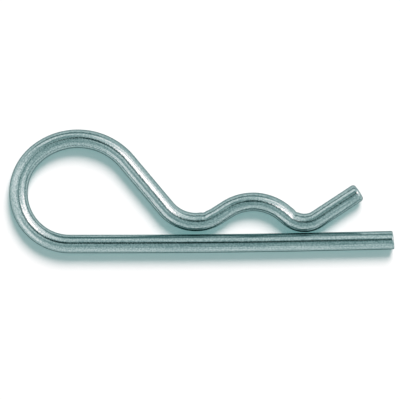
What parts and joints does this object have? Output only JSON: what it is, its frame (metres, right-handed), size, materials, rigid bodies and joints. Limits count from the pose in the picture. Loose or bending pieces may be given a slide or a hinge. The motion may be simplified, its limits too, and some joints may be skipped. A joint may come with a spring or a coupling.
{
  "type": "hitch r clip pin",
  "caption": "R-shaped spring wire clip: the straight leg goes through a shaft's cross hole and the waved arm snaps over the shaft.",
  "frame": {"origin": "centre of the held shaft: on the axis of the leg's straight tip, below the crest of the hump, in the wire's middle plane", "axes": "+X out of the tip of the leg along its axis, +Y from the leg to the arm, +Z out of the flat side that faces up as the clip lies"},
  "size_m": [0.0827, 0.0273, 0.004],
  "materials": {
    "zinc_plate": "bright zinc plate over drawn spring-steel wire, with fine lengthwise drawing lines"
  },
  "bodies": {
    "root": {"r_clip": "zinc_plate"}
  },
  "joints": []
}
